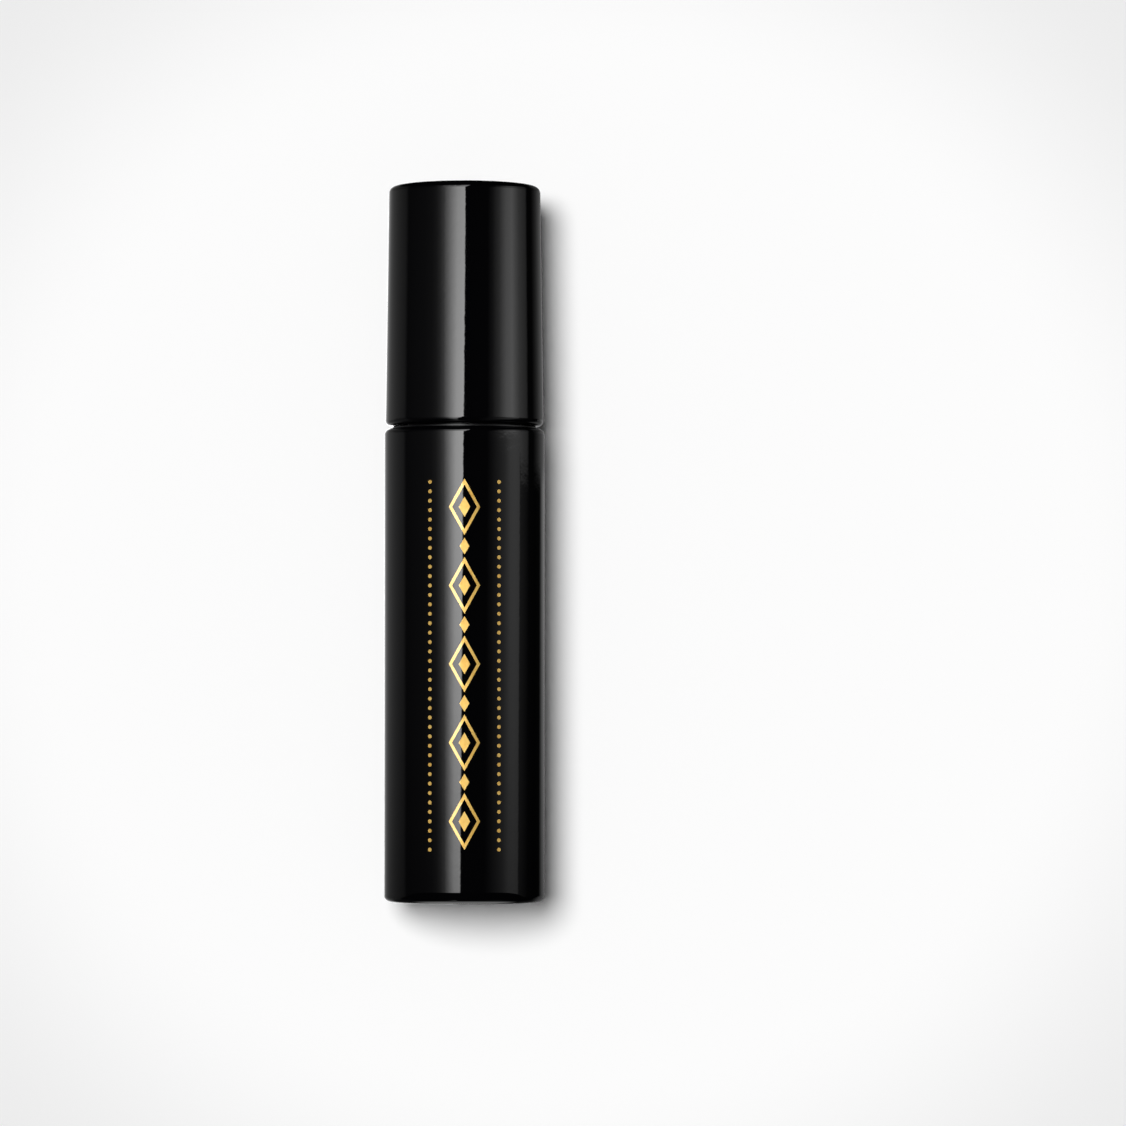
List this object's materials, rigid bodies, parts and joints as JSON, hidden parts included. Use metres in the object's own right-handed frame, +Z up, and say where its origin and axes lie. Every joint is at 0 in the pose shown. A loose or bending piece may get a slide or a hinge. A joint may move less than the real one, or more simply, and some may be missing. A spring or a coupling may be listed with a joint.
{
  "type": "mascara tube",
  "caption": "Travel-size mascara: glossy sleeve round an inner vial with a wiper, closed by a screw cap that carries a rod and a bowed moulded brush.",
  "frame": {"origin": "centre of the base, on the surface that the tube stands on", "axes": "+Z up the tube's axis towards the closed end of the cap; the picture looks along +Y, with +X to the right"},
  "size_m": [0.0154, 0.0154, 0.0692],
  "materials": {
    "sleeve_gloss": "high gloss moulded black",
    "vial_plastic": "satin moulded black",
    "wiper_soft": "soft matte black",
    "cap_gloss": "high gloss moulded black",
    "liner_plastic": "satin moulded black",
    "seal_foam": "natural foam, matte",
    "rod_plastic": "gloss moulded black",
    "brush_elastomer": "satin moulded black"
  },
  "bodies": {
    "bottle": {"outer_sleeve": "sleeve_gloss", "vial": "vial_plastic", "wiper": "wiper_soft"},
    "seal": {"seal_washer": "seal_foam"},
    "applicator": {"cap_shell": "cap_gloss", "inner_cap": "liner_plastic", "rod": "rod_plastic", "brush": "brush_elastomer"}
  },
  "joints": [
    {"name": "cap_lift", "type": "slide", "parent": "bottle", "child": "seal", "axis": [0, 0, 1], "range_m": [0, 0.05], "deforming": ["wiper"]},
    {"name": "cap_turn", "type": "hinge", "parent": "seal", "child": "applicator", "pos_m": [0, 0, 0.0576], "axis": [0, 0, 1], "range_deg": [0, 360]}
  ]
}
